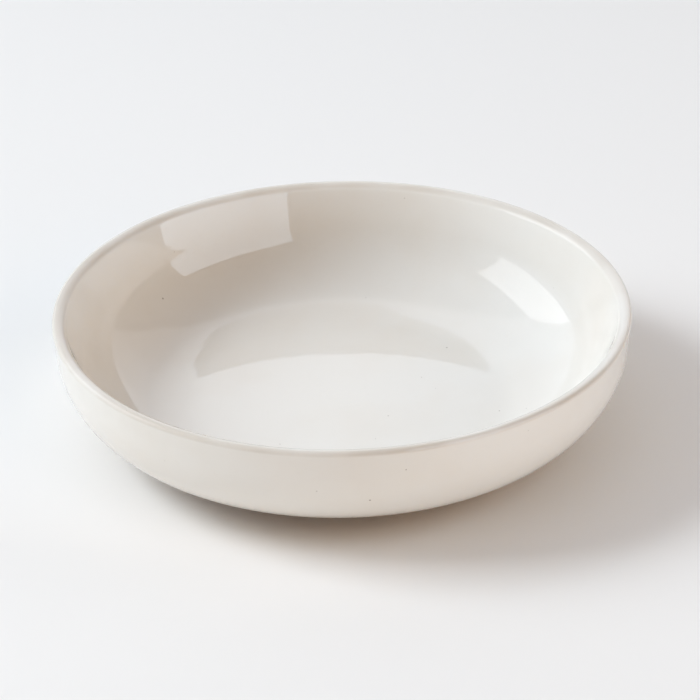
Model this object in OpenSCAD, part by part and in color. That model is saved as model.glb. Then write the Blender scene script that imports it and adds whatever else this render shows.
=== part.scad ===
// Shallow round dish of thrown stoneware, with a cream glaze and a bare standing foot.
// One half section is drawn as faces that follow each other anticlockwise round the wall.
// The finished faces are the glaze; the same faces set in by its thickness are the clay.

/* [Rim] */
// Diameter over the outside of the rim
rim_d = 220; // [140:1:320]
// Height of the rim's crest above the table
dish_h = 48; // [42:0.5:56]
// Radius of the outer half of the rounded lip
lip_out_r = 1.5; // [1:0.1:2.5]
// Radius of the inner half of the lip, which rolls softly into the bowl
lip_in_r = 3.8; // [2:0.1:5]

/* [Wall] */
// Outward lean of the outside of the wall, in degrees from upright
wall_lean = 4; // [0:0.5:10]
// Further lean of the inside of the wall, which thickens it downwards, in degrees
wall_taper = 15; // [8:0.5:17]
// Radius of the heel, where the outside of the wall turns under
heel_r = 32; // [22:0.5:38]
// Radius of the bowl, where the inside of the wall turns into the floor
bowl_r = 34.5; // [30:0.5:40]

/* [Floor] */
// Distance in from the outside of the rim to where the level floor begins to rise
floor_inset = 45; // [42:0.5:55]
// Thickness of the floor, from the well's ceiling to the level floor
floor_t = 4.2; // [3:0.1:8]
// Rise of the floor's border, in degrees
floor_rise = 10.5; // [6:0.5:14]
// Radius of the soft bend between the level floor and its border
floor_bend_r = 60; // [10:1:80]

/* [Foot] */
// Distance in from the outside of the rim to the outside of the foot ring, on the table
foot_inset = 46; // [36:0.5:52]
// Width of the foot ring on the table
foot_w = 5; // [3:0.1:8]
// Height of the underside where it meets the outside of the foot ring
foot_h = 2.8; // [2:0.1:8]
// Slope of the foot ring's two sides, in degrees from upright
foot_draft = 10; // [0:1:25]
// Radius of the foot ring's worn lower edges
foot_edge_r = 0.6; // [0.2:0.05:0.9]
// Radius in the corners where the foot ring joins the dish
foot_fillet_r = 1.2; // [0.4:0.1:1.4]
// Height of the well's ceiling above the top of the foot ring
well_rise = 0.2; // [0:0.1:1.5]
// Rise of the underside outside the foot ring, in degrees
under_rise = 13; // [9:0.5:16]

/* [Glaze] */
// Thickness of the glaze
glaze_t = 0.3; // [0.1:0.05:0.4]
// Height of bare clay left on the sides of the foot ring
bare_h = 1; // [0.9:0.05:1.1]

/* [Hidden] */
// Largest turn between two points of an arc, in degrees
arc_step = 4;
// Facets round the axis in a preview
$fn = 180;

// The centres of the lip's two halves lie one above the other, under the crest
crest_r = rim_d / 2 - lip_out_r;
lip_out_centre = [crest_r, dish_h - lip_out_r];
lip_in_centre = [crest_r, dish_h - lip_in_r];
well_z = foot_h + well_rise;
floor_z = well_z + floor_t;
floor_edge = rim_d / 2 - floor_inset;
foot_out = rim_d / 2 - foot_inset;
foot_in = foot_out - foot_w;

// Headings of the faces, anticlockwise round the section, in degrees
foot_in_way = -90 + foot_draft;
foot_out_way = 90 - foot_draft;
wall_way = 90 - wall_lean;
inner_way = 270 - wall_lean - wall_taper;

// The point a distance r from c in direction a
function polar(c, r, a) = c + r * [cos(a), sin(a)];
// A straight face through p with heading a, set in to its left by g
function face(p, a, g = 0) = [polar(p, g, a + 90), a];
// The same face, moved to its left by g
function set_in(f, g) = face(f[0], f[1], g);
// The point where two faces meet
function meet(f, h) =
    let (d = [cos(f[1]), sin(f[1])], n = [-sin(h[1]), cos(h[1])])
    f[0] + d * ((h[0] - f[0]) * n) / (d * n);
// The point of a face at height z
function at_height(f, z) = meet(f, face([0, z], 0));
// Points along an arc about c from angle a to angle b
function arc(c, r, a, b) =
    let (n = max(2, ceil(abs(b - a) / arc_step)))
    [for (k = [0 : n]) polar(c, r, a + (b - a) * k / n)];
// The rounded corner between face f and the next face h
// The radius r is that of the finished corner, and g is how far the two faces are set in.
function corner(f, h, r, g = 0) =
    let (turn = h[1] - f[1], side = sign(turn), rr = r - side * g)
    let (centre = meet(set_in(f, side * rr), set_in(h, side * rr)), start = f[1] - side * 90)
    arc(centre, rr, start, start + turn);
// A list backwards, and a list without its first entry
function reverse(list) = [for (k = [len(list) - 1 : -1 : 0]) list[k]];
function rest(list) = [for (k = [1 : len(list) - 1]) list[k]];

// The straight faces, each set in by g
function well_face(g) = face([0, well_z], 0, g);
function foot_in_face(g) = face([foot_in, 0], foot_in_way, g);
foot_sole = face([foot_in, 0], 0);
function foot_out_face(g) = face([foot_out, 0], foot_out_way, g);
function under_face(g) = face([foot_out, foot_h], under_rise, g);
function wall_face(g) = face(lip_out_centre, wall_way, g - lip_out_r);
function inner_face(g) = face(lip_in_centre, inner_way, g - lip_in_r);
function border_face(g) = face([floor_edge, floor_z], 180 + floor_rise, g);
function floor_face(g) = face([0, floor_z], 180, g);

// From the axis along the well's ceiling and down to the glaze line inside the foot ring
function well_run(g) = concat(
    [well_face(g)[0]],
    corner(well_face(g), foot_in_face(g), foot_fillet_r, g),
    [at_height(foot_in_face(g), bare_h)]
);
// Round the bare foot, between its two glaze lines
function foot_run(g) = concat(
    corner(foot_in_face(g), foot_sole, foot_edge_r),
    corner(foot_sole, foot_out_face(g), foot_edge_r)
);
// From the glaze line outside the foot ring, under the heel and up the wall to the lip's crest
function outside_run(g) = concat(
    [at_height(foot_out_face(g), bare_h)],
    corner(foot_out_face(g), under_face(g), foot_fillet_r, g),
    corner(under_face(g), wall_face(g), heel_r, g),
    arc(lip_out_centre, lip_out_r - g, wall_way - 90, 90)
);
// From the lip's crest down the inside of the wall and across the floor to the axis
function inside_run(g) = concat(
    arc(lip_in_centre, lip_in_r - g, 90, inner_way - 90),
    corner(inner_face(g), border_face(g), bowl_r, g),
    corner(border_face(g), floor_face(g), floor_bend_r, g),
    [floor_face(g)[0]]
);

// A coat of glaze between a finished run and the clay under it
module coat(finished, clay) {
    rotate_extrude()
        polygon(concat(finished, reverse(clay)));
}

// The fired clay: floor, bowl, wall, lip and foot ring in one
// The two runs that meet at the lip's crest share that point.
module stoneware_body() {
    underneath = concat(well_run(glaze_t), foot_run(glaze_t));
    over_the_lip = concat(outside_run(glaze_t), rest(inside_run(glaze_t)));
    color([0.80, 0.75, 0.67])
        rotate_extrude()
            polygon(concat(underneath, over_the_lip));
}

// The glaze on the floor, the bowl and the inner half of the lip
module inside_glaze() {
    color([0.91, 0.89, 0.85])
        coat(inside_run(0), inside_run(glaze_t));
}

// The glaze on the outer half of the lip, the wall and the underside, down to the foot
module outside_glaze() {
    color([0.90, 0.88, 0.84])
        coat(outside_run(0), outside_run(glaze_t));
}

// The glaze in the well inside the foot ring
module well_glaze() {
    color([0.90, 0.88, 0.84])
        coat(well_run(0), well_run(glaze_t));
}

stoneware_body();
inside_glaze();
outside_glaze();
well_glaze();
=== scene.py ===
"""Looks of a shallow dish of thrown and glazed stoneware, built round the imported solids."""
import math

import bpy
import numpy as np
from mathutils import Matrix, Vector


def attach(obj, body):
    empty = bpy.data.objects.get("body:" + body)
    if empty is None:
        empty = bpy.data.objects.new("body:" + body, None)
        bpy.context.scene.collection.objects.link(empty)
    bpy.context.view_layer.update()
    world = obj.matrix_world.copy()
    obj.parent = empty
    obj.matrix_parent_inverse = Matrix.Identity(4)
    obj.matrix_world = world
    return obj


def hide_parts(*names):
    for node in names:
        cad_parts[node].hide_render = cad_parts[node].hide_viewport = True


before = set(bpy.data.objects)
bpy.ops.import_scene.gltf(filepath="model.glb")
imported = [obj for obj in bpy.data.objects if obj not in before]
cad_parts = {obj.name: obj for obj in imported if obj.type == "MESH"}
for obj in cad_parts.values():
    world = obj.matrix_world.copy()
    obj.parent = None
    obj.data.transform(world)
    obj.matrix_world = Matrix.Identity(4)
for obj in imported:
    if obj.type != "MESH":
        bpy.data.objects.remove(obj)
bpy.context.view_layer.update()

MM = 0.001
TURN = 2 * math.pi


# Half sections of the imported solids
SAME = 0.004 * MM          # two points of a section closer than this are one
DECIMALS = 7               # decimals of a metre to which points are compared
CORNER = math.radians(35)  # a sharper turn of a section is an edge, not a curve
AXIS = np.array([1.0, 0.0])


def half_section(node):
    """A node's outline on one side of the axis: its points (radius, height), and whether it is closed."""
    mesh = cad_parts[node].data
    co = np.empty(len(mesh.vertices) * 3)
    mesh.vertices.foreach_get("co", co)
    co = co.reshape(-1, 3)
    ends = np.empty(len(mesh.edges) * 2, np.int64)
    mesh.edges.foreach_get("vertices", ends)
    flat = np.column_stack([np.hypot(co[:, 0], co[:, 1]), co[:, 2]])
    spots, spot_of = np.unique(np.round(flat, DECIMALS), axis=0, return_inverse=True)
    ring = np.arange(len(spots))
    for k in range(len(spots)):
        near = np.hypot(*(spots - spots[k]).T) < SAME
        ring[near] = ring[near].min()
    pairs = ring[spot_of.ravel()][ends].reshape(-1, 2)
    linked = {}
    for a, b in pairs[pairs[:, 0] != pairs[:, 1]]:
        linked.setdefault(int(a), set()).add(int(b))
        linked.setdefault(int(b), set()).add(int(a))
    tips = [k for k in linked if len(linked[k]) == 1]
    walk = [tips[0] if tips else min(linked)]
    while True:
        onward = [k for k in sorted(linked[walk[-1]]) if k not in walk[-2:-1] and k != walk[0]]
        if not onward or onward[0] in walk:
            break
        walk.append(onward[0])
    points = spots[walk]
    # an open outline starts and ends on the axis
    if tips and points[0, 0] > SAME:
        points = np.vstack([[0.0, points[0, 1]], points])
    if tips and points[-1, 0] > SAME:
        points = np.vstack([points, [0.0, points[-1, 1]]])
    # material lies to the left of the outline
    after = np.roll(points, -1, 0)
    if (points[:, 0] * after[:, 1] - after[:, 0] * points[:, 1]).sum() < 0:
        points = points[::-1]
    return points, not tips


NODES = ["stoneware_body", "inside_glaze", "outside_glaze", "well_glaze"]
sections = {n: half_section(n) for n in NODES}
outside, _ = sections["outside_glaze"]
RIM_R, DISH_H = outside.max(0)
crest_r = outside[outside[:, 1].argmax(), 0]
LIP_R = RIM_R - crest_r


def lies_on(points, nodes):
    """Which points lie on the section of any of the nodes."""
    others = np.vstack([sections[n][0] for n in nodes])
    return np.array([(np.hypot(*(others - p).T) < SAME).any() for p in points])


# Fine outlines
STEP = 0.7 * MM     # spacing of the rings on a face that shows
EDGE_SHARE = 0.03   # how close to an edge its last ring lies, as a share of the last step
ROLL_R = 0.16 * MM  # rounding of the glaze's own edge above the bare foot
ROLL_STEPS = 6      # steps round that edge


def unit(v):
    """The direction of a vector."""
    return v / np.linalg.norm(v)


def turn_at(before, at, after):
    """The angle by which an outline turns at a point."""
    share = float(unit(at - before) @ unit(after - at))
    return math.acos(max(-1.0, min(1.0, share)))


def rolled(points, touch, closed):
    """The outline with its free sharp corners rounded, as melting glaze draws back from an edge.

    Returns the points, and whether each of them touches another piece."""
    count = len(points)
    out, touching = [], []
    for k, at in enumerate(points):
        before, after = points[k - 1], points[(k + 1) % count]
        ends = not closed and k in (0, count - 1)
        if ends or touch[k] or turn_at(before, at, after) < CORNER:
            out.append(at)
            touching.append(touch[k])
            continue
        back, on = unit(before - at), unit(after - at)
        half = math.acos(float(back @ on)) / 2
        centre = at + unit(back + on) * ROLL_R / math.sin(half)
        start = at + back * ROLL_R / math.tan(half) - centre
        stop = at + on * ROLL_R / math.tan(half) - centre
        for s in np.linspace(0, 1, ROLL_STEPS + 1):
            out.append(centre + ROLL_R * unit((1 - s) * start + s * stop))
            touching.append(False)
    return np.array(out), np.array(touching)


def refined(node):
    """The node's outline with fine smooth points where it shows.

    Returns the points, their unit normals, whether each may take surface relief, whether it is a sharp
    edge, and whether the outline is closed."""
    points, closed = sections[node]
    points, touch = rolled(points, lies_on(points, [n for n in NODES if n != node]), closed)
    count = len(points)
    spans = range(count if closed else count - 1)
    ahead = [unit(points[(k + 1) % count] - points[k]) for k in spans]
    size = [np.linalg.norm(points[(k + 1) % count] - points[k]) for k in spans]
    leave, arrive, edge = {}, {}, np.zeros(count, bool)
    for k in range(count):
        if not closed and k in (0, count - 1):
            # an outline that ends on the axis leaves it level
            leave[k], arrive[k] = AXIS, -AXIS
        elif turn_at(points[k - 1], points[k], points[(k + 1) % count]) < CORNER:
            leave[k] = arrive[k] = unit(size[k - 1]**2 * ahead[k - 1] + size[k]**2 * ahead[k])
        else:
            edge[k] = True
    out, way, relief_ok, sharp = [], [], [], []
    for k in spans:
        nxt = (k + 1) % count
        d = ahead[k]
        t0, t1 = leave.get(k), arrive.get(nxt)
        if t0 is None:
            t0 = d if t1 is None else 2 * (d @ t1) * d - t1
        if t1 is None:
            t1 = 2 * (d @ t0) * d - t0
        shows = not (touch[k] and touch[nxt])
        steps = max(1, math.ceil(size[k] / STEP)) if shows else 1
        shares = list(np.arange(steps) / steps)
        if shows and edge[k]:
            shares.insert(1, EDGE_SHARE / steps)
        if shows and edge[nxt]:
            shares.append(1 - EDGE_SHARE / steps)
        for s in shares:
            a, b = points[k], points[nxt]
            # the cubic that joins the two points in the two directions, and its slope
            h = [2 * s**3 - 3 * s**2 + 1, s**3 - 2 * s**2 + s, 3 * s**2 - 2 * s**3, s**3 - s**2]
            g = [6 * s**2 - 6 * s, 3 * s**2 - 4 * s + 1, 6 * s - 6 * s**2, 3 * s**2 - 2 * s]
            out.append(h[0] * a + h[1] * size[k] * t0 + h[2] * b + h[3] * size[k] * t1)
            tangent = unit(g[0] * a + g[1] * size[k] * t0 + g[2] * b + g[3] * size[k] * t1)
            way.append((tangent[1], -tangent[0]))
            relief_ok.append(shows and not (s == 0 and touch[k]))
            sharp.append(s == 0 and edge[k])
    if not closed:
        out.append(points[-1])
        way.append((0.0, -math.copysign(1.0, ahead[-1][0])))
        relief_ok.append(not touch[-1])
        sharp.append(False)
    return np.array(out), np.array(way), np.array(relief_ok), np.array(sharp), closed


# Hand-made unevenness
def smooth(x):
    """A soft step from 0 to 1 as x goes from 0 to 1."""
    x = np.clip(x, 0, 1)
    return x * x * (3 - 2 * x)


OUT_OF_ROUND = 0.22 * MM     # how far the rim leaves a true circle
RIM_WAVE = 0.10 * MM         # how far the rim's crest leaves a level plane
DIP = 0.43 * MM              # how far the floor's border lies too low on one side, and too high opposite
DIP_WAY = math.radians(156)  # direction of the low side
DIP_FROM = 62 * MM           # radius where the dip begins
DIP_FULL = 79 * MM           # radius where it is full
DIP_TO = 95 * MM             # radius where it ends


def warped(co):
    """Points with the slight unevenness that all pieces share: none at the foot, full at the rim."""
    angle = np.arctan2(co[:, 1], co[:, 0])
    grow = smooth(co[:, 2] / DISH_H) * np.hypot(co[:, 0], co[:, 1]) / RIM_R
    out = OUT_OF_ROUND * grow * (0.7 * np.cos(2 * angle - 0.9) + 0.3 * np.cos(3 * angle + 0.4))
    up = RIM_WAVE * grow * (0.6 * np.cos(2 * angle + 1.3) + 0.4 * np.cos(3 * angle - 2.1))
    return co + np.column_stack([out * np.cos(angle), out * np.sin(angle), up])


def border_dip(radius, angle):
    """How far the inside lies below its true height, as the floor is a little off the rim's axis."""
    begin = smooth((radius - DIP_FROM) / (DIP_FULL - DIP_FROM))
    end = smooth((DIP_TO - radius) / (DIP_TO - DIP_FULL))
    return DIP * begin * end * np.cos(angle - DIP_WAY)


THROW_PITCH = 3.6 * MM     # rise of the throwing line in one turn of the wheel
THROW_WALL = 0.004 * MM    # depth of the throwing lines on the wall
THROW_FLOOR = 0.030 * MM   # depth of the swirl in the floor
SWIRL_R = 24 * MM          # reach of the swirl from the middle of the floor
EYE_R = 5 * MM             # smooth eye of the swirl
GLAZE_WAVE = 0.012 * MM    # slow unevenness of the glaze's thickness
LIP_CLEAR = 3.0 * MM       # the lip is wiped smooth over this depth
FOOT_CLEAR = 3.0 * MM      # no throwing lines this close to the glaze line


def relief(run, radius, height, angle):
    """How far the glaze stands proud, run being the distance along the section."""
    turn = run / THROW_PITCH + angle / TURN
    lines = (0.55 * np.sin(TURN * turn) + 0.30 * np.sin(TURN * 1.93 * turn + 1.1 * np.sin(angle) + 0.8)
             + 0.25 * np.sin(TURN * 0.41 * turn + 2.0))
    drift = 0.6 + 0.4 * np.sin(run / (11 * MM) + 1.3 * np.sin(angle + 0.7))
    swirl = smooth(radius / EYE_R) * (1 - smooth(radius / SWIRL_R))
    slow = (np.sin(3 * angle + run / (17 * MM)) + np.sin(5 * angle - run / (13 * MM) + 1.9)
            + 0.7 * np.sin(9 * angle + run / (9 * MM) + 0.5)) / 2.7
    clear = smooth((DISH_H - height) / LIP_CLEAR) * smooth(height / FOOT_CLEAR)
    rise = THROW_WALL * smooth(radius / SWIRL_R) * drift * lines + THROW_FLOOR * swirl * lines
    return clear * (rise + GLAZE_WAVE * smooth(radius / SWIRL_R) * slow)


# Turning an outline into a mesh
FACETS = 288  # faces round the axis


def turned(name, node):
    """A new object: the node's fine outline turned about the axis, with all its unevenness."""
    points, normals, free, sharp, closed = refined(node)
    if node == "inside_glaze":
        in_bowl = np.ones(len(points), bool)
    else:
        in_bowl = lies_on(points, ["inside_glaze"])
    runs = np.concatenate([[0], np.cumsum(np.hypot(*np.diff(points, axis=0).T))])
    angle = np.arange(FACETS) * TURN / FACETS
    cos, sin = np.cos(angle), np.sin(angle)
    rows, verts, faces, edges = [], [], [], []
    for k, (r, z) in enumerate(points):
        if r < SAME:
            rows.append([len(verts)])
            verts.append((0.0, 0.0, z))
            continue
        proud = relief(runs[k], r, z, angle) if free[k] else np.zeros(FACETS)
        rr, zz = r + proud * normals[k, 0], z + proud * normals[k, 1]
        if in_bowl[k]:
            zz = zz - border_dip(r, angle)
        rows.append(list(range(len(verts), len(verts) + FACETS)))
        verts += list(zip(rr * cos, rr * sin, zz))
        if sharp[k]:
            edges += [(rows[-1][i], rows[-1][(i + 1) % FACETS]) for i in range(FACETS)]
    strips = len(points) if closed else len(points) - 1
    for k in range(strips):
        low, high = rows[k], rows[(k + 1) % len(points)]
        for i in range(FACETS):
            j = (i + 1) % FACETS
            corners = [low[i % len(low)], low[j % len(low)], high[j % len(high)], high[i % len(high)]]
            corners = list(dict.fromkeys(corners))
            if len(corners) > 2:
                faces.append(corners)
    mesh = bpy.data.meshes.new(name)
    mesh.from_pydata([tuple(p) for p in warped(np.array(verts))], [], faces)
    mesh.polygons.foreach_set("use_smooth", np.ones(len(mesh.polygons), bool))
    keep = {tuple(sorted(e)) for e in edges}
    mesh.edges.foreach_set("use_edge_sharp", [tuple(sorted(e.vertices)) in keep for e in mesh.edges])
    mesh.validate()
    mesh.update()
    piece = bpy.data.objects.new(name, mesh)
    bpy.context.scene.collection.objects.link(piece)
    return piece


# Materials
class Nodes:
    """Small helper that adds nodes to a material's tree and joins them."""

    def __init__(self, name):
        self.material = bpy.data.materials.new(name)
        self.material.use_nodes = True
        self.tree = self.material.node_tree
        self.shader = self.tree.nodes["Principled BSDF"]
        self.place = self.add("ShaderNodeTexCoord").outputs["Object"]

    def add(self, kind, **settings):
        """A new node with its settings."""
        made = self.tree.nodes.new(kind)
        for key, value in settings.items():
            setattr(made, key, value)
        return made

    def join(self, value, socket):
        """Link a socket to an input, or write a plain value into it."""
        if isinstance(value, bpy.types.NodeSocket):
            self.tree.links.new(value, socket)
        else:
            socket.default_value = value

    def math(self, operation, a, b):
        """One operation on two values."""
        made = self.add("ShaderNodeMath", operation=operation)
        for value, socket in zip((a, b), made.inputs):
            self.join(value, socket)
        return made.outputs[0]

    def noise(self, size, detail, roughness=0.5):
        """Noise whose features are about size metres across."""
        made = self.add("ShaderNodeTexNoise")
        self.join(self.place, made.inputs["Vector"])
        made.inputs["Scale"].default_value = 1 / size
        made.inputs["Detail"].default_value = detail
        made.inputs["Roughness"].default_value = roughness
        return made.outputs["Fac"]

    def ramp(self, value, low, high, to_low=0.0, to_high=1.0):
        """A soft step from to_low to to_high as the value goes from low to high."""
        made = self.add("ShaderNodeMapRange", interpolation_type="SMOOTHSTEP")
        self.join(value, made.inputs["Value"])
        ends = {"From Min": low, "From Max": high, "To Min": to_low, "To Max": to_high}
        for key, number in ends.items():
            made.inputs[key].default_value = number
        return made.outputs["Result"]

    def blend(self, share, a, b):
        """Colour a, with a share of colour b."""
        made = self.add("ShaderNodeMix", data_type="RGBA")
        self.join(share, made.inputs["Factor"])
        for value, socket in ((a, made.inputs[6]), (b, made.inputs[7])):
            self.join((*value, 1.0) if isinstance(value, tuple) else value, socket)
        return made.outputs[2]

    def specks(self, cell, low, high, share):
        """Soft round specks of radius low to high metres, in a share of the cells."""
        made = self.add("ShaderNodeTexVoronoi", feature="F1")
        self.join(self.place, made.inputs["Vector"])
        made.inputs["Scale"].default_value = 1 / cell
        pick = self.add("ShaderNodeSeparateColor")
        self.join(made.outputs["Color"], pick.inputs[0])
        radius = self.ramp(pick.outputs[0], 0.0, 1.0, low / cell, high / cell)
        inside = self.math("DIVIDE", made.outputs["Distance"], radius)
        spot = self.ramp(inside, 1.0, 0.45)
        chosen = self.math("LESS_THAN", pick.outputs[1], share)
        return self.math("MULTIPLY", spot, chosen)

    def bump(self, height, distance, normal=None):
        """A relief, distance deep where height runs from 0 to 1, over another one if it is given."""
        made = self.add("ShaderNodeBump")
        made.inputs["Distance"].default_value = distance
        self.join(height, made.inputs["Height"])
        if normal is not None:
            self.join(normal, made.inputs["Normal"])
        return made.outputs["Normal"]


# Colours
GLAZE = (0.785, 0.738, 0.668)
GLAZE_WARM = (0.755, 0.688, 0.60)
# the lip's brown: glaze that thins at the crest, darkened further as painted shade of the rolled lip
GLAZE_LIP_BREAK_AND_SHADE = (0.52, 0.43, 0.33)
GLAZE_TOAST = (0.40, 0.26, 0.15)
SPECK = (0.20, 0.13, 0.075)
CLAY = (0.60, 0.52, 0.41)
CLAY_DARK = (0.47, 0.38, 0.28)
TABLE = (0.865, 0.83, 0.785, 1)

# Sizes and depths in the glaze
GLAZE_IOR = 1.55
LIP_DARK_TOP = 2.2 * MM      # depth below the crest where the lip begins to darken: thinner glaze, with painted shade of the rolled lip
LIP_DARK_FULL = 0.9 * MM      # depth below the crest where the lip is darkest
TOAST_TOP = 10.5 * MM    # height where the glaze under the dish begins to turn brown
TOAST_FULL = 6.0 * MM    # height where it is fully brown
TOAST_SHARE = 0.85
CLOUD = 45 * MM          # size of the warmer clouds
CLOUD_SHARE = 0.55
MOTTLE = 2.5 * MM        # size of the fine mottle
MOTTLE_SHARE = 0.22
LIP_DARK_PATCH = 40 * MM      # size of the patches in which the lip's glaze is thinner and its painted shade stronger
LIP_DARK_SHARES = (0.22, 0.45)
SPECK_CELL = 9 * MM      # size of the cells that hold one speck each
SPECK_FILL = 0.6         # share of the cells that do
SPECK_R = (0.20 * MM, 0.55 * MM)
SPECK_SHARE = 0.65
GLOSS_PATCH = 12 * MM    # size of the patches in which the gloss varies
GLOSS = (0.012, 0.032)
SKIN = 3.5 * MM          # size of the skin's faint ripple
SKIN_DEPTH = 0.004 * MM
PIT_CELL = 5 * MM
PIT_FILL = 0.5
PIT_R = (0.10 * MM, 0.22 * MM)
PIT_DEPTH = 0.06 * MM

# Sizes and depths in the clay
CLAY_PATCH = 6 * MM
GROG_CELL = 1.6 * MM
GROG_FILL = 0.6
GROG_R = (0.10 * MM, 0.30 * MM)
GROG_SHARE = 0.55
GRAIN = 1.2 * MM         # size of the patches in which the roughness varies
CLAY_ROUGH = (0.78, 0.93)
TOOTH = 0.6 * MM         # size of the clay's surface grain
TOOTH_DEPTH = 0.08 * MM


def glaze(name, toasted):
    """Cream gloss glaze, browner at the lip where it thins and with painted shade of the lip's rolls
    there; where toasted, it thins and turns brown towards the bare foot.
    """
    m = Nodes(name)
    clouds = m.ramp(m.noise(CLOUD, 3.0), 0.40, 0.75, 0.0, CLOUD_SHARE)
    colour = m.blend(clouds, GLAZE, GLAZE_WARM)
    mottle = m.ramp(m.noise(MOTTLE, 3.0), 0.55, 0.85, 0.0, MOTTLE_SHARE)
    colour = m.blend(mottle, colour, GLAZE_WARM)
    axes = m.add("ShaderNodeSeparateXYZ")
    m.join(m.place, axes.inputs[0])
    height = axes.outputs[2]
    # painted shade on the lip, with its thinner glaze: a band below the crest turns towards the lip's
    # brown, more in some patches
    crest = m.ramp(height, DISH_H - LIP_DARK_TOP, DISH_H - LIP_DARK_FULL)
    uneven = m.ramp(m.noise(LIP_DARK_PATCH, 2.0), 0.35, 0.60, *LIP_DARK_SHARES)
    colour = m.blend(m.math("MULTIPLY", crest, uneven), colour, GLAZE_LIP_BREAK_AND_SHADE)
    if toasted:
        brown = m.ramp(height, TOAST_FULL, TOAST_TOP, TOAST_SHARE, 0.0)
        colour = m.blend(brown, colour, GLAZE_TOAST)
    fine = m.specks(SPECK_CELL, *SPECK_R, SPECK_FILL)
    colour = m.blend(m.math("MULTIPLY", fine, SPECK_SHARE), colour, SPECK)
    m.join(colour, m.shader.inputs["Base Color"])
    m.join(m.ramp(m.noise(GLOSS_PATCH, 3.0), 0.3, 0.75, *GLOSS), m.shader.inputs["Roughness"])
    m.shader.inputs["IOR"].default_value = GLAZE_IOR
    skin = m.bump(m.noise(SKIN, 2.0), SKIN_DEPTH)
    pits = m.math("MULTIPLY", m.specks(PIT_CELL, *PIT_R, PIT_FILL), -1.0)
    m.join(m.bump(pits, PIT_DEPTH, normal=skin), m.shader.inputs["Normal"])
    return m.material


def clay(name):
    """Bare fired clay, matt and grainy."""
    m = Nodes(name)
    patches = m.ramp(m.noise(CLAY_PATCH, 4.0), 0.35, 0.75)
    colour = m.blend(patches, CLAY, CLAY_DARK)
    grog = m.specks(GROG_CELL, *GROG_R, GROG_FILL)
    colour = m.blend(m.math("MULTIPLY", grog, GROG_SHARE), colour, SPECK)
    m.join(colour, m.shader.inputs["Base Color"])
    m.join(m.ramp(m.noise(GRAIN, 3.0), 0.3, 0.7, *CLAY_ROUGH), m.shader.inputs["Roughness"])
    m.join(m.bump(m.noise(TOOTH, 4.0, 0.65), TOOTH_DEPTH), m.shader.inputs["Normal"])
    return m.material


bare_clay = clay("bare_clay")
inner_glaze = glaze("inner_glaze", toasted=False)
outer_glaze = glaze("outer_glaze", toasted=True)

# Each node's material slot and material
FINISH = {"stoneware_body": ("stoneware", bare_clay),
          "inside_glaze": ("cream_glaze", inner_glaze),
          "outside_glaze": ("cream_glaze", outer_glaze),
          "well_glaze": ("cream_glaze", inner_glaze)}
for node, (slot, material) in FINISH.items():
    piece = turned("dish_" + node, node)
    piece.data.materials.append(material)
    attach(piece, "root")
    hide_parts(node)

# Floor
FLOOR_HALF = 40.0  # half the width of the floor, in metres
FLOOR_ROUGH = 0.75
FLOOR_SHINE = 0.2
floor_corners = [(x * FLOOR_HALF, y * FLOOR_HALF, 0) for x, y in ((-1, -1), (1, -1), (1, 1), (-1, 1))]
floor_mesh = bpy.data.meshes.new("floor")
floor_mesh.from_pydata(floor_corners, [], [(0, 1, 2, 3)])
floor = bpy.data.objects.new("floor", floor_mesh)
bpy.context.scene.collection.objects.link(floor)
table = Nodes("table")
table.shader.inputs["Base Color"].default_value = TABLE
table.shader.inputs["Roughness"].default_value = FLOOR_ROUGH
table.shader.inputs["Specular IOR Level"].default_value = FLOOR_SHINE
floor_mesh.materials.append(table.material)


# Light: each lamp's radiance is given for red, green and blue
def lamp(name, shape, width, height, radiance, place, facing):
    """A flat lamp; facing holds its own three axes, of which the last points away from the dish."""
    data = bpy.data.lights.new(name, "AREA")
    data.shape = shape
    data.size, data.size_y = width, height
    area = width * height * (math.pi / 4 if shape == "ELLIPSE" else 1)
    data.energy = max(radiance) * math.pi * area
    data.color = [c / max(radiance) for c in radiance]
    made = bpy.data.objects.new(name, data)
    made.matrix_world = Matrix.Translation(place) @ Matrix(facing).transposed().to_4x4()
    bpy.context.scene.collection.objects.link(made)
    return made


def window(name, azimuth, distance, left, right, low, high, radiance):
    """An upright lit pane; its sides and heights, seen from the dish, are shares of its distance."""
    a = math.radians(azimuth)
    out, up = Vector((math.cos(a), math.sin(a), 0)), Vector((0, 0, 1))
    side = up.cross(out)
    middle = out + (left + right) / 2 * side + (low + high) / 2 * up
    return lamp(name, "RECTANGLE", (right - left) * distance, (high - low) * distance, radiance,
                distance * middle, (side, up, out))


def softbox(name, azimuth, elevation, distance, half_angle, radiance):
    """A round soft lamp turned to the dish."""
    a, e = math.radians(azimuth), math.radians(elevation)
    out = Vector((math.cos(a) * math.cos(e), math.sin(a) * math.cos(e), math.sin(e)))
    side = Vector((-math.sin(a), math.cos(a), 0))
    width = 2 * distance * math.tan(math.radians(half_angle))
    return lamp(name, "ELLIPSE", width, width, radiance, distance * out, (side, out.cross(side), out))


# Panes that light the dish but do not show in the glaze
# Each has an azimuth, a distance, its left, right, low and high sides, and a radiance.
LIT_PANES = {"key_low": (168, 1.9, -0.20, 0.42, 0.40, 0.75, (6.3, 7.0, 7.6)),
             "key_high": (168, 1.9, -0.20, 0.42, 0.75, 1.25, (12.4, 13.9, 15.4)),
             "low_right": (-20, 3.5, -0.70, 0.70, 0.0, 0.14, (0.9, 2.1, 3.6)),
             "low_front": (270, 3.5, -0.60, 0.60, 0.0, 0.14, (3.7, 3.7, 3.75))}

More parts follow.
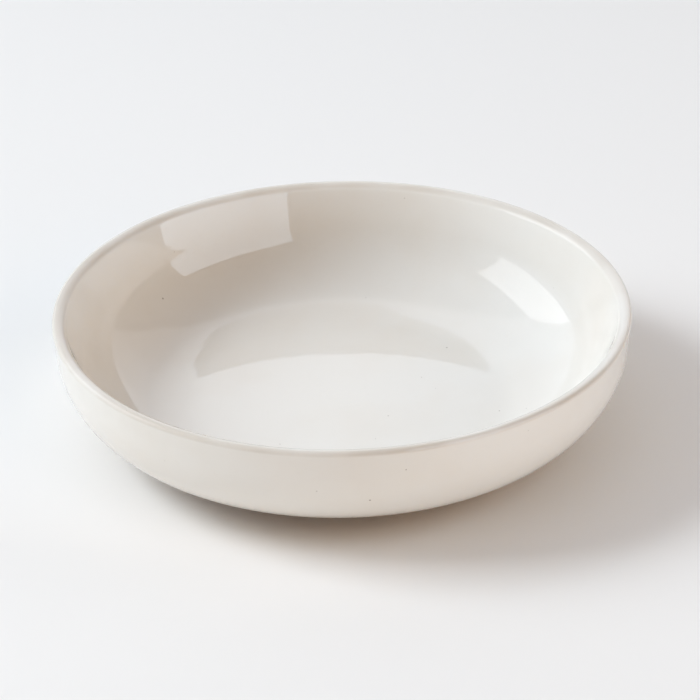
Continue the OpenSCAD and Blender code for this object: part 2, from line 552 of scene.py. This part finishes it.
# Round soft lamps that do not show in it either
# Each has an azimuth, an elevation, a half angle and a radiance.
SOFT_AWAY = 3.5  # distance of these lamps
SOFT = {"fill_window": (-38, 22, 21, (1.75, 1.08, 0.50)),
        "fill_right": (6, 20, 15, (3.1, 3.15, 3.2)),
        "fill_high": (315, 50, 13, (1.2, 1.35, 1.55)),
        "fill_top": (222, 72, 25, (0.68, 0.71, 0.79))}
for name, placed in LIT_PANES.items():
    window(name, *placed).visible_glossy = False
for name, (azimuth, elevation, half_angle, radiance) in SOFT.items():
    softbox(name, azimuth, elevation, SOFT_AWAY, half_angle, radiance).visible_glossy = False

# Panes that show in the glaze alone: two windows, one in two lights, and the room's bright back
SHOWN_PANES = {"window_left_a": (168, 1.1, -0.53, -0.06, 0.29, 0.97, (2.02, 2.05, 2.13)),
               "window_left_b": (168, 1.1, -0.06, 0.45, 0.29, 0.97, (1.92, 1.95, 2.02)),
               "window_right": (-39, 1.4, -0.53, 0.60, 0.0, 0.65, (2.05, 2.40, 2.75)),
               "room_back": (90, 1.6, -1.3, 1.3, 0.15, 1.5, (0.50, 0.50, 0.50))}
for name, placed in SHOWN_PANES.items():
    window(name, *placed).visible_diffuse = False

# The room's light, by the direction that it comes from, how closely it keeps to it, and its radiance
ROOM = {"back": ((0, 1, 0.35), 3, (0.90, 0.94, 1.02)),
        "left": ((-1, 0, 0.35), 3, (0.62, 0.66, 0.74))}
world = bpy.data.worlds.new("room")
bpy.context.scene.world = world
world.use_nodes = True
sky = world.node_tree
sky.nodes.clear()
direction = sky.nodes.new("ShaderNodeTexCoord").outputs["Generated"]
light = None
for axis, spread, radiance in ROOM.values():
    along = sky.nodes.new("ShaderNodeVectorMath")
    along.operation = "DOT_PRODUCT"
    along.inputs[1].default_value = Vector(axis).normalized()
    sky.links.new(direction, along.inputs[0])
    front = sky.nodes.new("ShaderNodeMath")
    front.operation = "MAXIMUM"
    front.inputs[1].default_value = 0.0
    sky.links.new(along.outputs["Value"], front.inputs[0])
    fall = sky.nodes.new("ShaderNodeMath")
    fall.operation = "POWER"
    fall.inputs[1].default_value = spread
    sky.links.new(front.outputs[0], fall.inputs[0])
    lobe = sky.nodes.new("ShaderNodeBackground")
    lobe.inputs["Color"].default_value = (*radiance, 1)
    sky.links.new(fall.outputs[0], lobe.inputs["Strength"])
    if light is None:
        light = lobe.outputs[0]
    else:
        both = sky.nodes.new("ShaderNodeAddShader")
        sky.links.new(light, both.inputs[0])
        sky.links.new(lobe.outputs[0], both.inputs[1])
        light = both.outputs[0]
sky.links.new(light, sky.nodes.new("ShaderNodeOutputWorld").inputs["Surface"])

# The camera that the photo's outlines gave: it aims at the middle of the lip's ring
LENS = 134.81
SENSOR = 36.0
TILT = math.radians(29.052)
ROLL = math.radians(-0.976)
REACH = 1.0                    # distance from the camera to that middle, along its view
AIM_X, AIM_Y = 341.69, 306.94  # where that middle lies in the picture, in pixels
IMAGE = 700                    # width of the picture, in pixels

right, ahead = Vector((1, 0, 0)), Vector((0, math.cos(TILT), -math.sin(TILT)))
up = right.cross(ahead)
side = math.cos(ROLL) * right + math.sin(ROLL) * up
top = math.cos(ROLL) * up - math.sin(ROLL) * right
pixel = SENSOR / LENS / IMAGE * REACH
aim = Vector((0, 0, DISH_H - LIP_R))
eye = aim - (AIM_X - IMAGE / 2) * pixel * side + (AIM_Y - IMAGE / 2) * pixel * top - REACH * ahead
camera = bpy.data.objects.new("camera", bpy.data.cameras.new("camera"))
camera.data.lens = LENS
camera.data.sensor_width = SENSOR
camera.data.clip_start = 0.01
camera.matrix_world = Matrix.Translation(eye) @ Matrix((side, top, -ahead)).transposed().to_4x4()
bpy.context.scene.collection.objects.link(camera)
bpy.context.scene.camera = camera
bpy.context.scene.view_settings.view_transform = "Standard"
